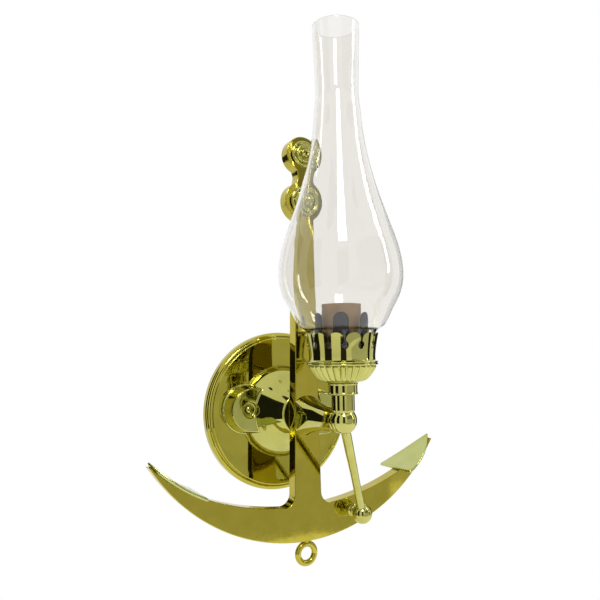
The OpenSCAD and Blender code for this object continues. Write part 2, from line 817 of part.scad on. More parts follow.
module burner_cup() {
    outer = bowl_line(0, 0);
    color(brass) translate([0, -lamp_y, collar_top]) difference() {
        union() {
            rotate_extrude() polygon(concat([[0, 0]], outer,
                [[cup_rim_r, cup_h - flange_h + 0.5], [cup_rim_r, cup_h], [0, cup_h]]));
            intersection() {
                for (i = [0:cup_ribs - 1]) rotate([0, 0, 360 * i / cup_ribs]) cup_rib();
                cylinder(r = cup_rim_r, h = cup_h - flange_h / 2);
            }
        }
        bowl_inside();
        translate([0, 0, -1]) cylinder(r = tube_hole, h = cup_h);
    }
}

// Space inside the bowl
module bowl_inside() {
    line = bowl_line(cup_wall, cup_wall);
    top_r = line[len(line) - 1][0];
    rotate_extrude() polygon(concat([[0, cup_wall]], line, [[top_r, cup_h + 1], [0, cup_h + 1]]));
}

module cup_locknut() {
    color(steel) translate([0, -lamp_y, collar_top + cup_wall]) lock_nut();
}

/* Pierced gallery that holds the chimney */
waist_z = 4.5;
gallery_seam = 1.9;

function gallery_r(z) = z < waist_z
    ? gallery_waist_r + 0.7 * pow((waist_z - z) / waist_z, 2)
    : gallery_waist_r + gallery_flare * pow((z - waist_z) / (gallery_h - waist_z), 1.5);

// Width of one tab and slot together, and the rounded tab's radius and centre
slot_pitch = 2 * PI * gallery_r(gallery_h) / gallery_slots;
tab_r = (slot_pitch - slot_neck) / 2;
tab_z = gallery_h - tab_r * 0.96;

// One keyhole slot, drawn as width and height above the cup's rim
module slot_outline() {
    hole_z = tab_z - tab_r * 0.55 - slot_hole_r;
    half = slot_pitch * 0.4;
    difference() {
        translate([-half, tab_z]) square([2 * half, tab_r + 0.5]);
        for (side = [-1, 1]) translate([side * slot_pitch / 2, tab_z]) circle(r = tab_r);
    }
    translate([-slot_neck / 2, hole_z]) square([slot_neck, tab_z - hole_z + 0.5]);
    translate([0, hole_z]) circle(r = slot_hole_r, $fn = 32);
}

module gallery() {
    levels = [gallery_seam, waist_z, gallery_h * 0.45, tab_z - 1, gallery_h];
    outer = [for (z = levels) [gallery_r(z), z]];
    inner = [for (i = [len(levels) - 1:-1:0]) [gallery_r(levels[i]) - gallery_wall, levels[i]]];
    floor_h = floor_z - cup_rim_z;
    floor_in = finger_circle_r - 3.2;
    color(pale_brass) translate([0, -lamp_y, cup_rim_z]) difference() {
        union() {
            rotate_extrude() polygon(concat(outer, inner));
            rotate_extrude() polygon([[cup_rim_r - 3.2, 0], [cup_rim_r - 0.6, 0],
                [cup_rim_r, 0.6], [cup_rim_r, 1.2], [gallery_r(gallery_seam) - eps, gallery_seam + 0.3],
                [gallery_waist_r - gallery_wall / 2, floor_h + floor_t], [floor_in, floor_h + floor_t],
                [floor_in, floor_h], [cup_rim_r - 3.2, floor_h]]);
        }
        for (i = [0:gallery_slots - 1]) rotate([0, 0, 360 * i / gallery_slots - 90])
            translate([finger_circle_r + 1, 0, 0]) rotate([90, 0, 90])
                linear_extrude(height = cup_rim_r) slot_outline();
    }
}

/* Ring of arched spring fingers inside the gallery */
module spring_fingers() {
    out_r = finger_circle_r + finger_t / 2;
    ring_h = 1;
    arch_r = finger_w / 2;
    color("#3c4456") translate([0, -lamp_y, floor_z + floor_t]) {
        disc(out_r, ring_h, finger_circle_r - 2.4);
        intersection() {
            disc(out_r, finger_h + 1, out_r - finger_t);
            for (i = [0:fingers - 1]) rotate([0, 0, 360 * i / fingers - 124])
                rotate([90, 0, 90]) linear_extrude(height = out_r + 1) {
                    translate([-arch_r, ring_h / 2]) square([finger_w, finger_h - arch_r - ring_h / 2]);
                    translate([0, finger_h - arch_r]) circle(r = arch_r, $fn = 40);
                }
        }
    }
}

/* Glass chimney */
bulb_z = 66;
neck_z = 210;

// Outline of the glass from foot to mouth, as [radius, height above its foot]
glass_points = [[glass_foot_r, 0], [glass_foot_r, 8], [glass_foot_r, 14], [glass_foot_r + 3.3, 21],
    [glass_foot_r + 9.2, 25.2], [glass_bulb_r - 9, 36.5], [glass_bulb_r - 2.4, 50],
    [glass_bulb_r, bulb_z - 1], [glass_bulb_r - 2.6, bulb_z + 18], [glass_bulb_r - 9.4, bulb_z + 39],
    [mix(glass_neck_r, glass_bulb_r, 0.45), bulb_z + 62],
    [mix(glass_neck_r, glass_bulb_r, 0.25), bulb_z + 84.5], [glass_neck_r + 3.5, bulb_z + 106.5],
    [glass_neck_r + 1.1, bulb_z + 130], [glass_neck_r, neck_z],
    [mix(glass_neck_r, glass_mouth_r, 0.45), mix(neck_z, glass_h, 0.5)], [glass_mouth_r, glass_h]];

module chimney() {
    outer = smooth(glass_points, 4);
    inner = [for (i = [len(outer) - 1:-1:0]) outer[i] - [glass_wall, 0]];
    color([0.85, 0.88, 0.9, 0.35]) translate([0, -lamp_y, glass_z])
        rotate_extrude() polygon(concat(outer, inner));
}

/* Lampholder: sleeve, ceramic body, screw shell and contact */
sleeve_foot = holder_z + 1.5;
sleeve_z = cup_rim_z + sleeve_top;

module lampholder_sleeve() {
    color([0.58, 0.45, 0.36]) translate([0, -lamp_y, sleeve_foot])
        disc(sleeve_r, sleeve_z - sleeve_foot, sleeve_r - sleeve_wall);
}

module lampholder_body() {
    inside = sleeve_r - sleeve_wall - fit_gap;
    color("ghostwhite") translate([0, -lamp_y, holder_z]) difference() {
        union() {
            cylinder(r = sleeve_r, h = 1.5);
            cylinder(r = inside, h = 6);
            cylinder(r = holder_r, h = holder_h);
        }
        translate([0, 0, -1]) cylinder(r = tube_hole, h = 7);
        translate([0, 0, 5]) cylinder(r = tube_bore, h = holder_h);
        translate([0, 0, shell_z - holder_z]) cylinder(r = shell_r + shell_wall + fit_gap, h = holder_h);
        for (side = [-1, 1]) translate([side * (holder_r - 2.4), 0, -1])
            cylinder(r = 1.3, h = shell_z - holder_z - 2, $fn = 24);
    }
}

module lampholder_shell() {
    color("goldenrod") translate([0, -lamp_y, shell_z]) difference() {
        cylinder(r = shell_r + shell_wall, h = shell_h);
        translate([0, 0, shell_wall]) cylinder(r = shell_r, h = shell_h);
        translate([0, 0, -1]) cylinder(r = tube_bore + 0.8, h = 3);
    }
}

contact_r = 3;

module lampholder_contact() {
    color("goldenrod") translate([0, -lamp_y, shell_z - 1.2]) {
        cylinder(r = tube_bore - fit_gap, h = 1.4);
        translate([0, 0, 1.4 - eps]) cylinder(r1 = contact_r, r2 = contact_r - 1, h = shell_wall - 0.3);
    }
}

module holder_terminals() {
    foot = 6;
    top = shell_foot - 3;
    color("goldenrod") for (side = [-1, 1])
        translate([side * (holder_r - 2.4), -lamp_y, holder_z + foot])
            cylinder(r = 1.3 - fit_gap, h = top - foot, $fn = 24);
}

/* Insulated leads, swept tubes along hand-set points */
lead_sides = 8;

function unit(v) = v / norm(v);

// Direction of the route at point i
function heading(route, i) = unit(
    route[min(i + 1, len(route) - 1)] - route[max(i - 1, 0)]);

// Ring of points round the route at point i, square to its direction
function ring_at(route, i, r) = let (
    d = heading(route, i),
    side = unit(cross(d, abs(d[0]) > 0.9 ? [0, 0, 1] : [1, 0, 0])),
    up = cross(side, d))
    [for (k = [0:lead_sides - 1]) let (a = 360 * k / lead_sides)
        route[i] + r * (side * cos(a) + up * sin(a))];

module swept(route, r) {
    n = len(route);
    m = lead_sides;
    points = [for (i = [0:n - 1]) each ring_at(route, i, r)];
    faces = concat(
        [[for (k = [0:m - 1]) k]],
        [for (i = [0:n - 2], k = [0:m - 1]) let (a = i * m + k, b = i * m + (k + 1) % m)
            [a, a + m, b + m, b]],
        [[for (k = [m - 1:-1:0]) (n - 1) * m + k]]);
    polyhedron(points = points, faces = faces, convexity = 8);
}

// Route of one inner lead from the terminal block to the lampholder
function lead_route(side) = smooth([
    [side * way_pitch, -plate_y - way_h, block_z - 0.2],
    [side * way_pitch, -plate_y - way_h - 0.6, block_z - 3],
    [side * (lead_x + 3), -plate_y - way_h - 4, block_z - 9],
    [side * lead_x, -boss_inside + 8, 2.2],
    [side * lead_x, -boss_inside + 1, 0.4],
    [side * lead_x, -anchor_mid, 0],
    [side * lead_x, -anchor_front - arm_len / 2, 0],
    [side * lead_x, -elbow_face - 2, 0.2],
    [side * lead_x, -lamp_y + 2.2, 1.6],
    [side * lead_x, -lamp_y + 0.3, 5],
    [side * lead_x, -lamp_y, 12],
    [side * lead_x, -lamp_y, collar_top],
    [side * lead_x, -lamp_y, shell_z - 1.6]], 3);

module lead_live() {
    color("saddlebrown") swept(lead_route(-1), lead_r);
}

module lead_neutral() {
    color("royalblue") swept(lead_route(1), lead_r);
}

// Earth lead from the strap's screw to the washer on the threaded tube
module lead_earth() {
    start = strap_t + earth_head_h;
    color("limegreen") swept(smooth([
        [earth_x, -start - 1.05, 0],
        [earth_x + 0.8, -start - 2.1, -0.3],
        [earth_x + 5, -start - 1.9, -1.2],
        [-plate_wire_r + 1.7, -start - 2.6, -2.2],
        [-plate_wire_r + 2.8, -plate_y, -3],
        [-plate_wire_r + 2.8, -plate_y - 5, -4],
        [-6.4, -plate_y - 13, -5],
        [-washer_r + 1.6, -boss_inside + washer_h + 7, -5.4],
        [-washer_r + 1.6, -boss_inside + washer_h + nut_h + 1, -5.2]], 3), lead_r);
}

wall_strap();
earth_screw();
back_plate();
wall_boss();
boss_screws();
terminal_block();
terminal_screws();
boss_nipple();
boss_washer();
boss_locknut();
anchor();
left_palm();
right_palm();
crown_ring();
top_rosette();
low_rosette();
trumpet_arm();
elbow();
elbow_nipple();
stay_rod();
stay_ball();
socket_nipple();
collar();
burner_cup();
cup_locknut();
gallery();
spring_fingers();
chimney();
lampholder_sleeve();
lampholder_body();
lampholder_shell();
lampholder_contact();
holder_terminals();
lead_live();
lead_neutral();
lead_earth();
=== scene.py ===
# Looks of the wall sconce: a ship's anchor with an oil-lamp burner and a glass chimney.
# Sizes are millimetres, as in the part's source, and MM turns them into metres.
# +X is right, -Y is forward from the wall and +Z is up.
import math

import bmesh
import bpy
from mathutils import Matrix, Vector
from mathutils.geometry import delaunay_2d_cdt


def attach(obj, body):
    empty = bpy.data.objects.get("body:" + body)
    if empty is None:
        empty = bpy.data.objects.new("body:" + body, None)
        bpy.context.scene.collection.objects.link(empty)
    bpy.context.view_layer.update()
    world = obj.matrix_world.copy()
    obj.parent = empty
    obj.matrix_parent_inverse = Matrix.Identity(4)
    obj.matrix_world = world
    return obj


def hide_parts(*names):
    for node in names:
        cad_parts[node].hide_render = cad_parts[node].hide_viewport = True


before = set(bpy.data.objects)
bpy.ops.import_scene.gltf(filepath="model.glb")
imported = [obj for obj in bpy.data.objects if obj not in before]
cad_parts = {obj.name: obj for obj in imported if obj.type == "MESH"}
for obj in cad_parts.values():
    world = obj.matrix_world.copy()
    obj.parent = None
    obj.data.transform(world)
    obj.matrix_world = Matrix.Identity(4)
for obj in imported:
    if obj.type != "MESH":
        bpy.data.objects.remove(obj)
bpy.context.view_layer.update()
MM = 0.001

# Back plate and boss
PLATE_R = 71.0
PLATE_Y = 10.0
PLATE_WALL = 1.5
PLATE_EDGE_R = 4.5
PLATE_STEP = 0.8
PLATE_FACE_R = PLATE_R - PLATE_EDGE_R - 1.2
PLATE_WIRE_R = 9.0
BOSS_LEN = 37.5

# Anchor
ANCHOR_T = 11.0
ANCHOR_BACK = PLATE_Y + BOSS_LEN
ANCHOR_FRONT = ANCHOR_BACK + ANCHOR_T
ANCHOR_MID = ANCHOR_BACK + ANCHOR_T / 2
ARM_LOW_R = 159.6
ARM_LOW_Z = 56.0
ARM_TOP_R = 240.5
CROWN_TOP_Z = -75.5
ARM_TOP_Z = CROWN_TOP_Z + ARM_TOP_R
CROWN_Z = ARM_LOW_Z - ARM_LOW_R
SHANK_FOOT = 12.8
SHANK_HEAD = 8.0
HEAD_Z = 165.0
SHANK_FILLET = 9.5
LOW_LOBE = (0.0, 183.0)
LOW_LOBE_R = 17.5
TOP_LOBE = (0.0, 224.5)
TOP_LOBE_R = 15.6
NECK_HALF = 5.2
CAST_EDGE = 0.9

# Palms
PALM_X = 94.0
PALM_W = 45.5
PALM_TIP_X = 134.0
PALM_R = 123.0
PALM_T = 2.6
LEAF_R = 62.0

# Ring and rosettes
RING_R = 7.9
RING_WIRE_R = 2.6
RING_NECK = 1.8
RING_NECK_R = 3.4
TOP_ROSETTE = (11.5, 5.5)
LOW_ROSETTE = (13.0, 9.0)

# Arm, elbow, collar and stay
LAMP_Y = 115.0
ARM_BASE_R = 16.5
ARM_END_R = 9.2
ARM_FLARE = 2.2
ELBOW_SOCKET = 12.0
ELBOW_BALL_R = 10.4
ELBOW_BALL_Z = 1.0
ELBOW_R = 8.9
ELBOW_TOP = 20.8
COLLAR_R = 11.7
COLLAR_TOP = ELBOW_TOP + 9.0
STAY_TOP_R = 4.5
STAY_FOOT_R = 3.2
STAY_BALL_R = 8.4
STAY_X = 43.5
STAY_Z = -84.0
STEM_LEN = 7.5
STEM_R = 4.8

# Burner
CUP_FOOT_R = 13.0
CUP_RIM_R = 27.6
CUP_H = 15.0
CUP_WALL = 1.4
CUP_RIBS = 28
CUP_RIB_SHARE = 0.72
CUP_FLANGE = 1.6
CUP_RIM_Z = COLLAR_TOP + CUP_H
GALLERY_H = 22.8
GALLERY_SEAM = 1.9
GALLERY_WAIST_R = 25.5
GALLERY_WAIST_Z = 4.5
GALLERY_FLARE = 2.8
GALLERY_WALL = 0.8
GALLERY_SLOTS = 13
SLOT_HOLE_R = 2.9
SLOT_NECK = 1.5
SLOT_LEN = 1.4
TAB_H = 5.0
FLOOR_Z = CUP_RIM_Z + 2.6
FLOOR_T = 1.0
FINGERS = 6
FINGER_CIRCLE_R = 20.6
FINGER_W = 11.6
FINGER_H = 35.0
FINGER_T = 0.7
FINGER_TURN = -124.0
SLEEVE_R = 15.2
SLEEVE_WALL = 1.2
SLEEVE_FOOT = COLLAR_TOP + 1.4 + 3.0 + 0.1 + 1.5
SLEEVE_TOP = CUP_RIM_Z + 45.5

# Chimney
GLASS_Z = FLOOR_Z + FLOOR_T + 0.3
GLASS_FOOT_R = 24.2
GLASS_WALL = 2.0
GLASS_H = 264.3
GLASS_BULB_R = 48.4
GLASS_NECK_R = 17.2
GLASS_MOUTH_R = 19.0
BULB_Z = 66.0
NECK_Z = 210.0

# Camera fitted to the photograph
CAMERA_AT = (-260.72, -522.27, 57.93)
CAMERA_YAW = 0.5035
CAMERA_PITCH = 0.0742
CAMERA_ROLL = -0.0157
LENS = 37.43


# Shapes: lists of (radius, height) or (x, z) pairs in millimetres

def mix(a, b, t):
    return a + (b - a) * t


def arc(centre, radius, start, end, steps=12):
    """Points on an arc about centre, from the angle start to end, in degrees."""
    angles = [math.radians(mix(start, end, i / steps)) for i in range(steps + 1)]
    return [(centre[0] + radius * math.cos(a), centre[1] + radius * math.sin(a)) for a in angles]


def rounded(points, radius, steps=4):
    """The polyline with its inner corners rounded, as far as their sides allow."""
    out = [points[0]]
    for before, at, after in zip(points, points[1:], points[2:]):
        before, at, after = Vector(before), Vector(at), Vector(after)
        back, on = before - at, after - at
        if back.length < 1e-6 or on.length < 1e-6:
            continue
        reach = min(radius, 0.45 * back.length, 0.45 * on.length)
        start, end = at + back.normalized() * reach, at + on.normalized() * reach
        for i in range(steps + 1):
            t = i / steps
            out.append(tuple(start.lerp(at, t).lerp(at.lerp(end, t), t)))
    return out + [points[-1]]


def smooth(points, steps):
    """Catmull-Rom curve through the points."""
    out = []
    last = len(points) - 1
    for i in range(last):
        p0, p1 = Vector(points[max(i - 1, 0)]), Vector(points[i])
        p2, p3 = Vector(points[i + 1]), Vector(points[min(i + 2, last)])
        for k in range(steps):
            t = k / steps
            out.append(tuple(0.5 * (2 * p1 + (p2 - p0) * t + (2 * p0 - 5 * p1 + 4 * p2 - p3) * t * t
                                    + (3 * p1 - p0 - 3 * p2 + p3) * t ** 3)))
    return out + [tuple(points[-1])]


def circle_cross(c1, r1, c2, r2, side):
    """The crossing of two circles on the left (side 1) or right (-1) of the line from c1 to c2."""
    c1, c2 = Vector(c1), Vector(c2)
    along = (c2 - c1).normalized()
    gap = (c2 - c1).length
    a = (gap * gap + r1 * r1 - r2 * r2) / (2 * gap)
    h = math.sqrt(max(r1 * r1 - a * a, 0))
    return c1 + along * a + side * h * Vector((-along[1], along[0]))


def angle_of(point, centre):
    return math.degrees(math.atan2(point[1] - centre[1], point[0] - centre[0]))


def upright(y, z=0.0, x=0.0):
    """Place with the local z axis up."""
    return Matrix.Translation((x, -y, z))


def forward(y, x=0.0, z=0.0):
    """Place with the local z axis forward from the wall and the local y axis up."""
    return Matrix.Translation((x, -y, z)) @ Matrix.Rotation(math.pi / 2, 4, "X")


def add_rows(bm, rows, closed_rows=True, closed_columns=False):
    """Skin of quads between rows of equally many points; a row of one point is a pole."""
    made = [[bm.verts.new(p) for p in row] for row in rows]
    pairs = list(zip(made, made[1:])) + ([(made[-1], made[0])] if closed_columns else [])
    for low, high in pairs:
        n = max(len(low), len(high))
        for i in range(n if closed_rows else n - 1):
            k = (i + 1) % n
            corners = [low[i % len(low)], low[k % len(low)], high[k % len(high)], high[i % len(high)]]
            corners = list(dict.fromkeys(corners))
            if len(corners) > 2:
                bm.faces.new(corners)


def add_lathe(bm, profile, place, turns=144, closed=False):
    """Turned shape about the local z axis of place."""
    rows = []
    for r, z in profile:
        count = turns if r > 1e-4 else 1
        ring = [2 * math.pi * i / turns for i in range(count)]
        rows.append([place @ Vector((r * math.cos(a), r * math.sin(a), z)) for a in ring])
    add_rows(bm, rows, closed_columns=closed)


def piece(name, bm, look, nodes, body="sconce", sharp=38.0):
    """Turns the shape into an object in metres that stands for CAD nodes."""
    bmesh.ops.recalc_face_normals(bm, faces=bm.faces)
    mesh = bpy.data.meshes.new(name)
    bm.to_mesh(mesh)
    bm.free()
    mesh.transform(Matrix.Scale(MM, 4))
    mesh.shade_smooth()
    mesh.set_sharp_from_angle(angle=math.radians(sharp))
    mesh.materials.append(look)
    obj = bpy.data.objects.new(name, mesh)
    bpy.context.collection.objects.link(obj)
    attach(obj, body)
    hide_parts(*nodes)
    return obj


# Materials

def material(name):
    """New material with its Principled shader."""
    m = bpy.data.materials.new(name)
    m.use_nodes = True
    return m, m.node_tree.nodes, m.node_tree.links, m.node_tree.nodes["Principled BSDF"]


def noise(nodes, links, scale, detail=3.0, stretch=(1, 1, 1)):
    """Noise in the object's own coordinates, in features per metre."""
    coords = nodes.new("ShaderNodeTexCoord")
    place = nodes.new("ShaderNodeMapping")
    place.inputs["Scale"].default_value = stretch
    texture = nodes.new("ShaderNodeTexNoise")
    texture.inputs["Scale"].default_value = scale
    texture.inputs["Detail"].default_value = detail
    links.new(coords.outputs["Object"], place.inputs["Vector"])
    links.new(place.outputs["Vector"], texture.inputs["Vector"])
    return texture.outputs["Fac"]


def spread(nodes, links, source, low, high, start=0.35, end=0.65):
    """Maps a noise value from start..end to low..high."""
    node = nodes.new("ShaderNodeMapRange")
    node.inputs["From Min"].default_value = start
    node.inputs["From Max"].default_value = end
    node.inputs["To Min"].default_value = low
    node.inputs["To Max"].default_value = high
    links.new(source, node.inputs["Value"])
    return node.outputs["Result"]


def tint(nodes, links, source, low, high, start=0.35, end=0.65):
    """Blends two colours by a noise value."""
    node = nodes.new("ShaderNodeMix")
    node.data_type = "RGBA"
    node.inputs["A"].default_value = (*low, 1)
    node.inputs["B"].default_value = (*high, 1)
    links.new(spread(nodes, links, source, 0.0, 1.0, start, end), node.inputs["Factor"])
    return node.outputs["Result"]


def bumped(nodes, links, bsdf, height, strength, distance):
    bump = nodes.new("ShaderNodeBump")
    bump.inputs["Strength"].default_value = strength
    bump.inputs["Distance"].default_value = distance
    links.new(height, bump.inputs["Height"])
    links.new(bump.outputs["Normal"], bsdf.inputs["Normal"])


def brass(name, colour, dull, rough, ripple, ripple_scale):
    """Polished brass with faint tarnish clouds, an uneven polish and a hand-polished ripple."""
    m, nodes, links, bsdf = material(name)
    bsdf.inputs["Metallic"].default_value = 1.0
    links.new(tint(nodes, links, noise(nodes, links, 70.0, 6.0), dull, colour), bsdf.inputs["Base Color"])
    links.new(spread(nodes, links, noise(nodes, links, 240.0, 5.0), *rough), bsdf.inputs["Roughness"])
    bumped(nodes, links, bsdf, noise(nodes, links, ripple_scale, 1.5), ripple, 0.0004)
    return m


def satin(name, colour, dull, rough, metallic=0.0, scale=90.0):
    """Plain finish with a little mottling."""
    m, nodes, links, bsdf = material(name)
    bsdf.inputs["Metallic"].default_value = metallic
    links.new(tint(nodes, links, noise(nodes, links, scale, 5.0), dull, colour), bsdf.inputs["Base Color"])
    links.new(spread(nodes, links, noise(nodes, links, scale * 3, 4.0), rough * 0.8, rough * 1.25),
              bsdf.inputs["Roughness"])
    bumped(nodes, links, bsdf, noise(nodes, links, scale * 8, 3.0), 0.1, 0.0002)
    return m


def blown_glass():
    """Clear glass with the long soft streaks of a drawn tube; its warm grey tint is painted shade of a dimmer, beige
    backdrop seen through it.
    """
    m, nodes, links, bsdf = material("glass_blown")
    # Warm grey tint: painted shade of a dimmer, beige backdrop seen through the glass, not the glass's own colour
    bsdf.inputs["Base Color"].default_value = (0.895, 0.885, 0.855, 1)
    bsdf.inputs["Roughness"].default_value = 0.0
    bsdf.inputs["IOR"].default_value = 1.47
    bsdf.inputs["Transmission Weight"].default_value = 1.0
    bumped(nodes, links, bsdf, noise(nodes, links, 70.0, 2.0, (1, 1, 0.1)), 0.15, 0.0006)
    return m


CAST = brass("brass_cast", (0.48, 0.41, 0.055), (0.44, 0.37, 0.045), (0.04, 0.08), 0.25, 40.0)
TURNED = brass("brass_turned", (0.50, 0.49, 0.145), (0.45, 0.43, 0.115), (0.03, 0.07), 0.10, 90.0)
# The palms get a paler, greener copy of the brass: a painted highlight for the light the blades catch
PALM_HIGHLIGHT = brass("brass_palm_highlight", (0.50, 0.53, 0.19), (0.46, 0.48, 0.16), (0.10, 0.18), 0.20, 60.0)
SHEET = brass("brass_sheet", (0.46, 0.41, 0.060), (0.42, 0.37, 0.050), (0.03, 0.06), 0.12, 30.0)
BOSS = brass("brass_boss", (0.48, 0.47, 0.13), (0.42, 0.41, 0.10), (0.03, 0.08), 0.35, 55.0)
GLASS = blown_glass()
STEEL = satin("steel_zinc", (0.60, 0.61, 0.62), (0.45, 0.46, 0.48), 0.32, 1.0)
SPRING = satin("spring_slate", (0.030, 0.031, 0.046), (0.020, 0.021, 0.032), 0.55)
SLEEVE = satin("sleeve_brown", (0.40, 0.25, 0.115), (0.27, 0.165, 0.075), 0.45)
CERAMIC = satin("ceramic_white", (0.82, 0.81, 0.77), (0.74, 0.72, 0.68), 0.5)
BLOCK = satin("block_cream", (0.78, 0.76, 0.70), (0.72, 0.70, 0.64), 0.4)
LEAD_BROWN = satin("lead_brown", (0.16, 0.07, 0.03), (0.12, 0.05, 0.02), 0.5)
LEAD_BLUE = satin("lead_blue", (0.04, 0.10, 0.40), (0.03, 0.08, 0.32), 0.5)
LEAD_GREEN = satin("lead_green", (0.20, 0.42, 0.05), (0.15, 0.36, 0.04), 0.5)

CAD_LOOKS = {
    "earth_screw": TURNED, "terminal_screws": TURNED, "lampholder_shell": TURNED,
    "lampholder_contact": TURNED, "holder_terminals": TURNED, "boss_screws": TURNED,
    "wall_strap": STEEL, "boss_nipple": STEEL, "boss_washer": STEEL, "boss_locknut": STEEL,
    "elbow_nipple": STEEL, "socket_nipple": STEEL, "cup_locknut": STEEL,
    "lampholder_body": CERAMIC, "terminal_block": BLOCK,
    "lead_live": LEAD_BROWN, "lead_neutral": LEAD_BLUE, "lead_earth": LEAD_GREEN,
}


def dress_cad_nodes():
    """The nodes that stay as they are in the CAD get their materials."""
    for name, look in CAD_LOOKS.items():
        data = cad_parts[name].data
        if not data.materials:
            data.materials.append(look)
        for i in range(len(data.materials)):
            data.materials[i] = look


# Back plate and boss

def back_plate():
    """Spun sheet: flat face, a small step and a rolled edge back to the wall."""
    top = PLATE_Y - PLATE_STEP
    edge_at = (PLATE_R - PLATE_EDGE_R, top - PLATE_EDGE_R)
    outer = [(PLATE_WIRE_R, PLATE_Y), (PLATE_FACE_R - 6, PLATE_Y), (PLATE_FACE_R, PLATE_Y)]
    outer += [(PLATE_FACE_R + PLATE_STEP, top)]
    outer = rounded(outer + arc(edge_at, PLATE_EDGE_R, 90, 0, 14) + [(PLATE_R, 0)], 0.35)
    inner = [(PLATE_R - PLATE_WALL, 0)]
    inner += arc(edge_at, PLATE_EDGE_R - PLATE_WALL, 0, 90, 8)
    inner += [(PLATE_FACE_R - 1, PLATE_Y - PLATE_WALL), (PLATE_WIRE_R, PLATE_Y - PLATE_WALL)]
    bm = bmesh.new()
    add_lathe(bm, outer + inner, forward(0), 192, closed=True)
    piece("plate_spun", bm, SHEET, ["back_plate"])


def softened(name, node, look, voxel, passes):
    """Cast piece: a CAD node's own shape with its edges and inner corners softened."""
    obj = bpy.data.objects.new(name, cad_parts[node].data.copy())
    bpy.context.collection.objects.link(obj)
    skin = obj.modifiers.new("skin", "REMESH")
    skin.mode = "VOXEL"
    skin.voxel_size = voxel * MM
    soften = obj.modifiers.new("soften", "SMOOTH")
    soften.factor = 0.5
    soften.iterations = passes
    depsgraph = bpy.context.evaluated_depsgraph_get()
    mesh = bpy.data.meshes.new_from_object(obj.evaluated_get(depsgraph))
    obj.modifiers.clear()
    obj.data = mesh
    mesh.name = name
    mesh.shade_smooth()
    mesh.materials.clear()
    mesh.materials.append(look)
    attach(obj, "sconce")
    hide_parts(node)
    return obj


# Anchor

def shank_half(z):
    return mix(SHANK_FOOT, SHANK_HEAD, (z - CROWN_TOP_Z) / (HEAD_Z - CROWN_TOP_Z))


def palm_circle():
    """Centre of the arc that a palm follows, square to the arm's upper edge at its back."""
    lean = math.asin(PALM_X / ARM_TOP_R)
    back_z = ARM_TOP_Z - math.sqrt(ARM_TOP_R ** 2 - PALM_X ** 2)
    return (PALM_X - PALM_R * math.sin(lean), back_z + PALM_R * math.cos(lean))


def palm_z(x, radius=PALM_R):
    cx, cz = palm_circle()
    return cz - math.sqrt(radius ** 2 - (x - cx) ** 2)


def half_outline():
    """Right half of the anchor from the crown round to the top of the head."""
    cx, cz = palm_circle()
    tip_z = palm_z(PALM_TIP_X) - 1.2
    low_tip_x = math.sqrt(ARM_LOW_R ** 2 - (ARM_LOW_Z - tip_z) ** 2)
    top_tip_x = cx + math.sqrt(PALM_R ** 2 - (cz - tip_z) ** 2)
    low_at = (0, ARM_LOW_Z)
    points = arc(low_at, ARM_LOW_R, -90, angle_of((low_tip_x, tip_z), low_at), 60)
    points += arc((cx, cz), PALM_R, angle_of((top_tip_x, tip_z), (cx, cz)),
                  angle_of((PALM_X, palm_z(PALM_X)), (cx, cz)), 14)
    edge = shank_half(CROWN_TOP_Z + SHANK_FILLET)
    fx = edge + SHANK_FILLET
    fz = ARM_TOP_Z - math.sqrt((ARM_TOP_R - SHANK_FILLET) ** 2 - fx ** 2)
    top_at = (0, ARM_TOP_Z)
    touch = angle_of((fx, fz), top_at)
    points += arc(top_at, ARM_TOP_R, angle_of((PALM_X, palm_z(PALM_X)), top_at), touch, 26)[1:]
    points += arc((fx, fz), SHANK_FILLET, touch, -180, 14)[1:]
    waist_r = (TOP_LOBE[1] - LOW_LOBE[1] - 0.62 * (LOW_LOBE_R + TOP_LOBE_R)) / 2
    waist_z = mix(LOW_LOBE[1], TOP_LOBE[1], LOW_LOBE_R / (LOW_LOBE_R + TOP_LOBE_R))
    waist = (NECK_HALF + waist_r, waist_z)
    foot = math.degrees(math.asin(SHANK_HEAD / LOW_LOBE_R)) - 90
    low_cross = circle_cross(LOW_LOBE, LOW_LOBE_R, waist, waist_r, 1)
    top_cross = circle_cross(TOP_LOBE, TOP_LOBE_R, waist, waist_r, -1)
    points += [(SHANK_HEAD, HEAD_Z)]
    points += arc(LOW_LOBE, LOW_LOBE_R, foot, angle_of(low_cross, LOW_LOBE), 30)
    low_turn = angle_of(low_cross, waist) % 360
    top_turn = angle_of(top_cross, waist) % 360
    points += arc(waist, waist_r, low_turn, top_turn, 14)[1:-1]
    points += arc(TOP_LOBE, TOP_LOBE_R, angle_of(top_cross, TOP_LOBE), 90, 34)
    return points


def anchor():
    """Flat casting with softly rounded edges."""
    right = half_outline()
    outline = right[:-1] + [(0, right[-1][1])] + [(-x, z) for x, z in reversed(right[1:-1])]
    bm = bmesh.new()
    back = [bm.verts.new((x, -ANCHOR_BACK, z)) for x, z in outline]
    front = [bm.verts.new((x, -ANCHOR_FRONT, z)) for x, z in outline]
    bm.faces.new(back)
    bm.faces.new(front)
    for i in range(len(outline)):
        k = (i + 1) % len(outline)
        bm.faces.new((back[i], back[k], front[k], front[i]))
    obj = piece("anchor_cast", bm, CAST, ["anchor"])
    edge = obj.modifiers.new("edge", "BEVEL")
    edge.width = CAST_EDGE * MM
    edge.segments = 4
    edge.limit_method = "ANGLE"
    edge.angle_limit = math.radians(50)
    edge.harden_normals = True


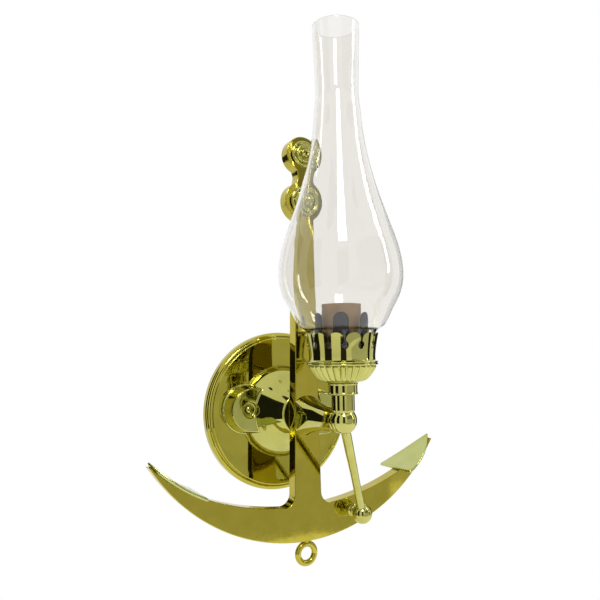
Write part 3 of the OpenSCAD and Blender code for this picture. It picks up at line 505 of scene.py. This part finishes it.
def palm(name, node, side):
    """Curved leaf-shaped blade with rounded edges, square to the anchor's plane."""
    half = PALM_W / 2
    corner, tip = Vector((PALM_X, half)), Vector((PALM_TIP_X, 0.0))
    chord = tip - corner
    middle = (corner + tip) / 2
    rise = math.sqrt(LEAF_R ** 2 - chord.length_squared / 4)
    centre = middle + rise * Vector((chord[1], -chord[0])) / chord.length
    steps_along, steps_across = 40, 24
    edge = PALM_T / 2
    faces = {1: [], -1: []}
    for i in range(steps_along + 1):
        x = mix(PALM_X, PALM_TIP_X, i / steps_along)
        reach = centre[1] + math.sqrt(max(LEAF_R ** 2 - (x - centre[0]) ** 2, 0))
        reach = max(reach, 0.05)
        for way in faces:
            row = []
            for k in range(steps_across + 1):
                v = math.sin(mix(-90, 90, k / steps_across) * math.pi / 180)
                y = v * reach
                inset = min(reach - abs(y), x - PALM_X, PALM_TIP_X - x)
                bulge = math.sqrt(max(1 - (1 - min(inset / edge, 1)) ** 2, 0))
                z = palm_z(x, PALM_R - PALM_T / 2 + way * bulge * PALM_T / 2)
                row.append((side * x, y - ANCHOR_MID, z))
            faces[way].append(row)
    bm = bmesh.new()
    for way in faces:
        add_rows(bm, faces[way], closed_rows=False)
    bmesh.ops.remove_doubles(bm, verts=bm.verts, dist=0.004)
    # The paler brass on the blades is a painted highlight
    piece(name, bm, PALM_HIGHLIGHT, [node], sharp=60)


def crown_ring():
    ring_z = CROWN_Z - RING_NECK - RING_R - RING_WIRE_R * 0.6
    bm = bmesh.new()
    add_lathe(bm, arc((RING_R, 0), RING_WIRE_R, 0, 345, 23), forward(ANCHOR_MID, z=ring_z), 96, closed=True)
    foot = ring_z + RING_R + RING_WIRE_R * 0.5
    neck = [(0, 0), (RING_NECK_R * 0.75, 0), (RING_NECK_R * 0.75, 0.9), (RING_NECK_R, 1.6)]
    neck += [(RING_NECK_R, CROWN_Z - foot - 0.05), (0, CROWN_Z - foot - 0.05)]
    add_lathe(bm, rounded(neck, 0.5), upright(ANCHOR_MID, foot), 48)
    piece("ring_cast", bm, CAST, ["crown_ring"])


def top_rosette():
    r, h = TOP_ROSETTE
    profile = [(r, 0)] + arc((r - 1.3, 1.3), 1.3, 0, 120, 10) + [(r - 3.2, h * 0.3)]
    profile += arc((r - 4.9, h * 0.42), 1.5, 0, 140, 10) + [(r - 7.2, h * 0.55)]
    profile += arc((2.6, h - 1.1), 1.1, 10, 170, 12) + [(1.35, h - 3), (0, h - 3)]
    bm = bmesh.new()
    add_lathe(bm, rounded(profile, 0.25, 2), forward(ANCHOR_FRONT, z=TOP_LOBE[1]), 96)
    piece("rosette_top", bm, TURNED, ["top_rosette"])


def low_rosette():
    r, h = LOW_ROSETTE
    ball_r = r * 0.44
    seat = math.degrees(math.asin((2.4 - h + ball_r) / ball_r))
    profile = [(r, 0)] + arc((r - 1.5, 1.5), 1.5, 0, 120, 10) + [(r - 4, 1.6), (ball_r, 1.8)]
    profile += arc((0, h - ball_r), ball_r, seat, 89.5, 24) + [(0, h)]
    bm = bmesh.new()
    add_lathe(bm, rounded(profile, 0.25, 2), forward(ANCHOR_FRONT, z=LOW_LOBE[1]), 96)
    piece("rosette_low", bm, TURNED, ["low_rosette"])


# Arm, elbow, collar and stay

def trumpet_arm():
    """Flared arm, cut flush with the shank's sides."""
    length = LAMP_Y - ELBOW_SOCKET - ANCHOR_FRONT
    steps = 40
    profile = [(ARM_END_R + (ARM_BASE_R - ARM_END_R) * (1 - i / steps) ** ARM_FLARE, i / steps * length)
               for i in range(steps + 1)]
    bm = bmesh.new()
    add_lathe(bm, [(0, 0.05)] + profile + [(0, length)], forward(ANCHOR_FRONT), 128)
    side = shank_half(0)
    for vert in bm.verts:
        vert.co.x = max(-side, min(side, vert.co.x))
    piece("arm_trumpet", bm, TURNED, ["trumpet_arm"])


def elbow():
    """Ball, upright and side socket in one casting."""
    join = math.degrees(math.acos(ELBOW_R * 0.93 / ELBOW_BALL_R))
    profile = arc((0, ELBOW_BALL_Z), ELBOW_BALL_R, -89.5, join, 36)
    profile += [(ELBOW_R, ELBOW_BALL_Z + ELBOW_BALL_R * math.sin(math.radians(join)) + 1.6)]
    profile += [(ELBOW_R, ELBOW_TOP - 0.05), (0, ELBOW_TOP - 0.05)]
    bm = bmesh.new()
    add_lathe(bm, [(0, ELBOW_BALL_Z - ELBOW_BALL_R)] + rounded(profile, 0.6), upright(LAMP_Y), 128)
    socket = [(0, 0), (ARM_END_R, 0), (ARM_END_R, ELBOW_SOCKET - 0.05), (0, ELBOW_SOCKET - 0.05)]
    add_lathe(bm, rounded(socket, 0.4), forward(LAMP_Y - ELBOW_SOCKET), 96)
    piece("elbow_cast", bm, TURNED, ["elbow"])


def collar():
    """Turned ring with a rounded lip at both ends."""
    h = COLLAR_TOP - ELBOW_TOP
    profile = [(0, 0.05), (COLLAR_R - 0.3, 0.05), (COLLAR_R, 0.9), (COLLAR_R - 0.5, 1.6)]
    profile += [(COLLAR_R - 0.5, h - 1.6), (COLLAR_R, h - 0.9), (COLLAR_R - 0.3, h - 0.05), (0, h - 0.05)]
    bm = bmesh.new()
    add_lathe(bm, rounded(profile, 0.5), upright(LAMP_Y, ELBOW_TOP), 128)
    piece("collar_turned", bm, TURNED, ["collar"])


def stay():
    """Tapered rod from the elbow's ball to the stay's ball, and the ball on its turned stem."""
    flat = STEM_R - 0.8
    ball_y = ANCHOR_FRONT + STEM_LEN + math.sqrt(STAY_BALL_R ** 2 - flat ** 2)
    start, end = Vector((0, -LAMP_Y, ELBOW_BALL_Z)), Vector((STAY_X, -ball_y, STAY_Z))
    along = (end - start).normalized()
    seat = math.sqrt(ELBOW_BALL_R ** 2 - STAY_TOP_R ** 2)
    foot = math.sqrt(STAY_BALL_R ** 2 - STAY_FOOT_R ** 2)
    length = (end - start).length - seat - foot
    place = Matrix.Translation(start + along * seat) @ along.to_track_quat("Z", "Y").to_matrix().to_4x4()
    profile = [(0, 0.05), (STAY_TOP_R, 0.05), (STAY_TOP_R, 1.8), (STAY_TOP_R - 0.6, 2.6)]
    profile += [(mix(STAY_TOP_R - 0.6, STAY_FOOT_R - 0.2, t / 8), mix(2.6, length - 2.2, t / 8)) for t in range(1, 9)]
    profile += [(STAY_FOOT_R, length - 1.5), (STAY_FOOT_R, length - 0.05), (0, length - 0.05)]
    bm = bmesh.new()
    add_lathe(bm, rounded(profile, 0.4), place, 64)
    piece("stay_turned", bm, TURNED, ["stay_rod"])
    neck = STEM_R * 0.62
    bead = STEM_LEN * 0.17
    stem = [(0, 0.05), (STEM_R + 0.4, 0.05), (STEM_R + 0.4, STEM_LEN * 0.16), (neck, STEM_LEN * 0.26)]
    stem += arc((STEM_R - bead, STEM_LEN * 0.5), bead, -80, 80, 12)
    stem += [(neck, STEM_LEN * 0.74), (flat, STEM_LEN * 0.84)]
    ball_z = ball_y - ANCHOR_FRONT
    stem += arc((0, ball_z), STAY_BALL_R, math.degrees(math.asin(flat / STAY_BALL_R)) - 90 + 3, 89.5, 40)
    bm = bmesh.new()
    add_lathe(bm, rounded(stem, 0.25, 2) + [(0, ball_z + STAY_BALL_R)], forward(ANCHOR_FRONT, STAY_X, STAY_Z), 96)
    piece("stay_knob", bm, TURNED, ["stay_ball"])


# Burner

def cup_r(z):
    return mix(CUP_FOOT_R, CUP_RIM_R, math.sqrt(max(z, 0.0) / CUP_H))


def burner_cup():
    """Bowl with rounded ribs all round, a rolled rim above them and a plain inside."""
    per_rib = 14
    rib_top = CUP_H - CUP_FLANGE - 0.2
    rib_low = 1.0
    end_h = 1.7
    rows = []
    for i in range(31):
        z = mix(rib_low, rib_top, i / 30)
        reach = cup_r(z)
        depth = CUP_RIB_SHARE * math.pi * reach / CUP_RIBS
        near_end = min(z - rib_low, rib_top - z) / end_h
        swell = math.sqrt(max(1 - (1 - min(near_end, 1)) ** 2, 0))
        row = []
        for k in range(CUP_RIBS * per_rib):
            u = (k % per_rib) / per_rib * 2 - 1
            crest = (0.5 + 0.5 * math.cos(math.pi * u)) ** 0.7
            dip = depth * (1 - swell * crest)
            a = 2 * math.pi * k / (CUP_RIBS * per_rib)
            row.append(Vector(((reach - dip) * math.cos(a), (reach - dip) * math.sin(a) - LAMP_Y, COLLAR_TOP + z)))
        rows.append(row)
    bm = bmesh.new()
    add_rows(bm, rows)
    foot = [(0, 0.05), (CUP_FOOT_R - 0.8, 0.05), (CUP_FOOT_R, 0.5), (cup_r(rib_low) - 1.2, rib_low + 0.4)]
    add_lathe(bm, rounded(foot, 0.3), upright(LAMP_Y, COLLAR_TOP), 112)
    inside = CUP_RIM_R - 5.2
    rim = [(cup_r(rib_top) - 3.2, rib_top - 0.4), (CUP_RIM_R - 1.0, rib_top), (CUP_RIM_R, rib_top + 0.7)]
    rim += [(CUP_RIM_R, CUP_H - 0.55), (CUP_RIM_R - 0.5, CUP_H - 0.02), (inside, CUP_H - 0.02)]
    rim += [(cup_r(8.0) - 5.0, 8.0), (cup_r(3.0) - 4.8, 3.0), (CUP_FOOT_R - 3, CUP_WALL), (0, CUP_WALL)]
    add_lathe(bm, rounded(rim, 0.45), upright(LAMP_Y, COLLAR_TOP), 160)
    piece("cup_ribbed", bm, TURNED, ["burner_cup"], sharp=70)


def gallery_r(z):
    if z < GALLERY_WAIST_Z:
        return GALLERY_WAIST_R + 0.7 * ((GALLERY_WAIST_Z - z) / GALLERY_WAIST_Z) ** 2
    rise = (z - GALLERY_WAIST_Z) / (GALLERY_H - GALLERY_WAIST_Z)
    return GALLERY_WAIST_R + GALLERY_FLARE * rise ** 1.5


def inside_polygon(point, polygon):
    x, y = point
    inside = False
    for (x1, y1), (x2, y2) in zip(polygon, polygon[1:] + polygon[:1]):
        if (y1 > y) != (y2 > y) and x < x1 + (y - y1) / (y2 - y1) * (x2 - x1):
            inside = not inside
    return inside


def gallery_cell():
    """One slot with half a tab on each side, as width and height: vertices and triangles."""
    pitch = 2 * math.pi * gallery_r(GALLERY_H) / GALLERY_SLOTS
    tab_r = (pitch - SLOT_NECK) / 2
    tab_z = GALLERY_H - TAB_H
    hole_z = tab_z - SLOT_LEN - SLOT_HOLE_R
    half, neck = pitch / 2, SLOT_NECK / 2
    opening = math.degrees(math.asin(neck / SLOT_HOLE_R))
    left = [(x, tab_z + (z - tab_z) * TAB_H / tab_r) for x, z in arc((-half, tab_z), tab_r, 85, 0, 18)]
    hole = arc((0, hole_z), SLOT_HOLE_R, 90 + opening, 450 - opening, 28)
    right = [(-x, z) for x, z in reversed(left)]
    sides = [mix(GALLERY_SEAM, GALLERY_H, i / 16) for i in range(17)]
    bottom = [mix(-half, half, i / 10) for i in range(1, 10)]
    polygon = [(-half, z) for z in sides] + left + hole + right + [(half, z) for z in reversed(sides)]
    polygon += [(x, GALLERY_SEAM) for x in reversed(bottom)]
    grid = []
    for i in range(1, 20):
        for k in range(1, 16):
            point = (mix(-half, half, i / 20), mix(GALLERY_SEAM, GALLERY_H, k / 16))
            clear = min((Vector(point) - Vector(p)).length for p in polygon) > 0.35
            if clear and inside_polygon(point, polygon):
                grid.append(point)
    points = [Vector(p) for p in polygon + grid]
    result = delaunay_2d_cdt(points, [], [list(range(len(polygon)))], 1, 1e-4)
    return result[0], result[2], pitch


def gallery():
    """Pierced sheet wall, repeated slot by slot, on a turned floor ring."""
    verts, triangles, pitch = gallery_cell()
    step = 2 * math.pi / GALLERY_SLOTS
    bm = bmesh.new()
    for depth in (0.0, GALLERY_WALL):
        for i in range(GALLERY_SLOTS):
            made = []
            for u, z in verts:
                a = i * step - math.pi / 2 + u / pitch * step
                r = gallery_r(z) - depth
                made.append(bm.verts.new((r * math.cos(a), r * math.sin(a) - LAMP_Y, CUP_RIM_Z + z)))
            for face in triangles:
                bm.faces.new([made[k] for k in face])
    bmesh.ops.remove_doubles(bm, verts=bm.verts, dist=0.02)
    bm.verts.index_update()
    edges = [e for e in bm.edges if e.is_boundary]
    pairs = {}
    for vert in {v for e in edges for v in e.verts}:
        x, y, z = vert.co.x, vert.co.y + LAMP_Y, vert.co.z
        outer = math.hypot(x, y) > gallery_r(z - CUP_RIM_Z) - GALLERY_WALL / 2
        pairs.setdefault((round(math.atan2(y, x), 3), round(z, 2)), {})[outer] = vert
    partner = {}
    for both in pairs.values():
        if len(both) == 2:
            partner[both[True]] = both[False]
    for edge in edges:
        a, b = edge.verts
        if a in partner and b in partner:
            bm.faces.new((a, b, partner[b], partner[a]))
    floor_h = FLOOR_Z - CUP_RIM_Z
    floor_in = FINGER_CIRCLE_R - 3.2
    seam = [(CUP_RIM_R - 3.2, 0.02), (CUP_RIM_R - 0.6, 0.02), (CUP_RIM_R, 0.6), (CUP_RIM_R, 1.2)]
    seam += [(gallery_r(GALLERY_SEAM) + 0.02, GALLERY_SEAM + 0.3), (GALLERY_WAIST_R - 0.4, floor_h + FLOOR_T)]
    seam += [(floor_in, floor_h + FLOOR_T), (floor_in, floor_h), (CUP_RIM_R - 3.2, floor_h)]
    add_lathe(bm, rounded(seam, 0.25), upright(LAMP_Y, CUP_RIM_Z), 160, closed=True)
    piece("gallery_pierced", bm, TURNED, ["gallery"])


def spring_fingers():
    """Ring of arched fingers bent from thin spring sheet."""
    out_r = FINGER_CIRCLE_R + FINGER_T / 2
    foot_z = FLOOR_Z + FLOOR_T
    arch = FINGER_W / 2
    bm = bmesh.new()
    ring = [(out_r - 2.4, 0.02), (out_r, 0.02), (out_r, 1), (out_r - 2.4, 1)]
    add_lathe(bm, ring, upright(LAMP_Y, foot_z), 96, closed=True)
    levels = [mix(0.5, FINGER_H - arch, i / 10) for i in range(11)]
    levels += [FINGER_H - arch + arch * math.sin(math.radians(i * 6)) for i in range(1, 16)]
    for finger in range(FINGERS):
        middle = math.radians(360 * finger / FINGERS + FINGER_TURN)
        rows = []
        for z in levels:
            over = max(z - (FINGER_H - arch), 0)
            half = max(math.sqrt(max(arch ** 2 - over ** 2, 0)), 0.15) / FINGER_CIRCLE_R
            row = []
            for r, ways in ((out_r, range(11)), (out_r - FINGER_T, range(10, -1, -1))):
                for k in ways:
                    a = middle + mix(-half, half, k / 10)
                    row.append(Vector((r * math.cos(a), r * math.sin(a) - LAMP_Y, foot_z + z)))
            rows.append(row)
        add_rows(bm, rows)
        end = len(bm.verts)
        bm.verts.ensure_lookup_table()
        bm.faces.new([bm.verts[i] for i in range(end - 22, end)])
    piece("fingers_spring", bm, SPRING, ["spring_fingers"])


def sleeve():
    """Card sleeve of the lampholder with softened rims."""
    inner = SLEEVE_R - SLEEVE_WALL
    profile = [(inner, SLEEVE_FOOT + 2), (inner, SLEEVE_FOOT), (SLEEVE_R, SLEEVE_FOOT), (SLEEVE_R, SLEEVE_TOP)]
    profile += [(inner, SLEEVE_TOP), (inner, SLEEVE_TOP - 2)]
    bm = bmesh.new()
    add_lathe(bm, rounded(profile, 0.3), upright(LAMP_Y), 96, closed=True)
    piece("sleeve_tube", bm, SLEEVE, ["lampholder_sleeve"])


def chimney():
    """Blown chimney with fire-polished rims."""
    foot, bulb, neck = GLASS_FOOT_R, GLASS_BULB_R, GLASS_NECK_R
    points = [(foot, 0), (foot, 8), (foot, 14), (foot + 3.3, 21), (foot + 9.2, 25.2)]
    points += [(bulb - 9, 36.5), (bulb - 2.4, 50), (bulb, BULB_Z - 1), (bulb - 2.6, BULB_Z + 18)]
    points += [(bulb - 9.4, BULB_Z + 39), (mix(neck, bulb, 0.45), BULB_Z + 62)]
    points += [(mix(neck, bulb, 0.25), BULB_Z + 84.5), (neck + 3.5, BULB_Z + 106.5), (neck + 1.1, BULB_Z + 130)]
    points += [(neck, NECK_Z), (mix(neck, GLASS_MOUTH_R, 0.45), mix(NECK_Z, GLASS_H, 0.5)), (GLASS_MOUTH_R, GLASS_H)]
    outer = smooth(points, 10)
    inner = [(r - GLASS_WALL, z) for r, z in reversed(outer)]
    lip = GLASS_WALL / 2
    top = [(GLASS_MOUTH_R - lip + lip * math.cos(a), GLASS_H - lip + lip * math.sin(a))
           for a in (math.radians(d) for d in range(0, 181, 20))]
    bottom = [(foot - lip - lip * math.cos(a), lip - lip * math.sin(a))
              for a in (math.radians(d) for d in range(0, 181, 20))]
    body = [p for p in outer if lip < p[1] < GLASS_H - lip]
    body += top + [p for p in inner if lip < p[1] < GLASS_H - lip] + bottom
    bm = bmesh.new()
    add_lathe(bm, body, upright(LAMP_Y, GLASS_Z), 192, closed=True)
    piece("chimney_blown", bm, GLASS, ["chimney"], body="glass", sharp=80)


# Camera and studio

def place_camera():
    yaw, pitch, roll = CAMERA_YAW, CAMERA_PITCH, CAMERA_ROLL
    ahead = Vector((math.sin(yaw) * math.cos(pitch), math.cos(yaw) * math.cos(pitch), math.sin(pitch)))
    level = Vector((math.cos(yaw), -math.sin(yaw), 0))
    above = level.cross(ahead)
    right = math.cos(roll) * level + math.sin(roll) * above
    up = math.cos(roll) * above - math.sin(roll) * level
    data = bpy.data.cameras.new("camera")
    data.lens = LENS
    data.clip_start = 0.01
    camera = bpy.data.objects.new("camera", data)
    turn = Matrix((right, up, -ahead)).transposed()
    camera.matrix_world = Matrix.Translation(Vector(CAMERA_AT) * MM) @ turn.to_4x4()
    bpy.context.collection.objects.link(camera)
    bpy.context.scene.camera = camera


def white_world():
    world = bpy.data.worlds.new("studio")
    world.use_nodes = True
    bpy.context.scene.world = world
    background = world.node_tree.nodes["Background"]
    background.inputs["Color"].default_value = (1, 1, 1, 1)
    background.inputs["Strength"].default_value = 1.0


def facing(at, target, axis="Z"):
    """Place at a point with the given local axis towards the target, in metres."""
    at, target = Vector(at) * MM, Vector(target) * MM
    return Matrix.Translation(at) @ (target - at).to_track_quat(axis, "Y").to_matrix().to_4x4()


def square(name, width, height):
    w, h = width / 2 * MM, height / 2 * MM
    mesh = bpy.data.meshes.new(name)
    mesh.from_pydata([(-w, -h, 0), (w, -h, 0), (w, h, 0), (-w, h, 0)], [], [(0, 1, 2, 3)])
    obj = bpy.data.objects.new(name, mesh)
    bpy.context.collection.objects.link(obj)
    return obj


def card(name, at, target, width, height, level):
    """Grey or black studio card that only reflections see."""
    obj = square(name, width, height)
    obj.matrix_world = facing(at, target)
    m, nodes, links, bsdf = material(name)
    bsdf.inputs["Base Color"].default_value = (0, 0, 0, 1)
    bsdf.inputs["Specular IOR Level"].default_value = 0.0
    bsdf.inputs["Emission Color"].default_value = (1, 1, 1, 1)
    bsdf.inputs["Emission Strength"].default_value = level
    obj.data.materials.append(m)
    obj.visible_camera = False
    obj.visible_transmission = False
    obj.visible_diffuse = False
    obj.visible_shadow = False


def floor():
    """Pale floor in reflections, plain white to the camera, so the horizon doesn't show."""
    obj = square("floor", 60000, 60000)
    obj.location.z = -0.32
    m, nodes, links, bsdf = material("floor")
    bsdf.inputs["Base Color"].default_value = (0.9, 0.9, 0.9, 1)
    bsdf.inputs["Roughness"].default_value = 1.0
    bsdf.inputs["Specular IOR Level"].default_value = 0.0
    white = nodes.new("ShaderNodeEmission")
    path = nodes.new("ShaderNodeLightPath")
    seen = nodes.new("ShaderNodeMath")
    seen.operation = "MAXIMUM"
    blend = nodes.new("ShaderNodeMixShader")
    links.new(path.outputs["Is Camera Ray"], seen.inputs[0])
    links.new(path.outputs["Is Transmission Ray"], seen.inputs[1])
    links.new(seen.outputs["Value"], blend.inputs["Fac"])
    links.new(bsdf.outputs["BSDF"], blend.inputs[1])
    links.new(white.outputs["Emission"], blend.inputs[2])
    links.new(blend.outputs["Shader"], nodes["Material Output"].inputs["Surface"])
    obj.data.materials.append(m)


def lamp(name, at, target, width, height, watts):
    data = bpy.data.lights.new(name, "AREA")
    data.shape = "RECTANGLE"
    data.size = width * MM
    data.size_y = height * MM
    data.energy = watts
    light = bpy.data.objects.new(name, data)
    light.matrix_world = facing(at, target, "-Z")
    bpy.context.collection.objects.link(light)


dress_cad_nodes()
back_plate()
softened("boss_cast", "wall_boss", BOSS, 0.55, 10)
anchor()
palm("palm_right", "right_palm", 1)
palm("palm_left", "left_palm", -1)
crown_ring()
top_rosette()
low_rosette()
trumpet_arm()
elbow()
collar()
stay()
burner_cup()
gallery()
spring_fingers()
sleeve()
chimney()

MIDDLE = (0, -60, 60)
place_camera()
white_world()
floor()
card("card_front", (620, -1150, -60), MIDDLE, 1500, 620, 0.66)
card("card_front_top", (620, -1150, 560), MIDDLE, 1500, 700, 0.30)
card("card_low", (120, -760, -300), (0, -50, -90), 900, 260, 0.60)
card("card_left_back", (-760, 560, 60), MIDDLE, 700, 1500, 0.015)
card("card_right_back", (900, 250, 0), MIDDLE, 500, 1200, 0.02)
card("card_left", (-900, -260, 40), MIDDLE, 420, 1500, 0.02)
card("card_camera", (-420, -900, 120), MIDDLE, 300, 900, 0.03)
card("card_over", (-150, -500, 900), MIDDLE, 900, 300, 0.05)
card("card_right", (760, -420, 60), MIDDLE, 160, 1500, 0.02)
lamp("key", (-350, -800, 900), MIDDLE, 260, 420, 5.0)
lamp("side", (800, -500, 450), MIDDLE, 120, 700, 3.0)

bpy.context.scene.view_settings.view_transform = "Standard"
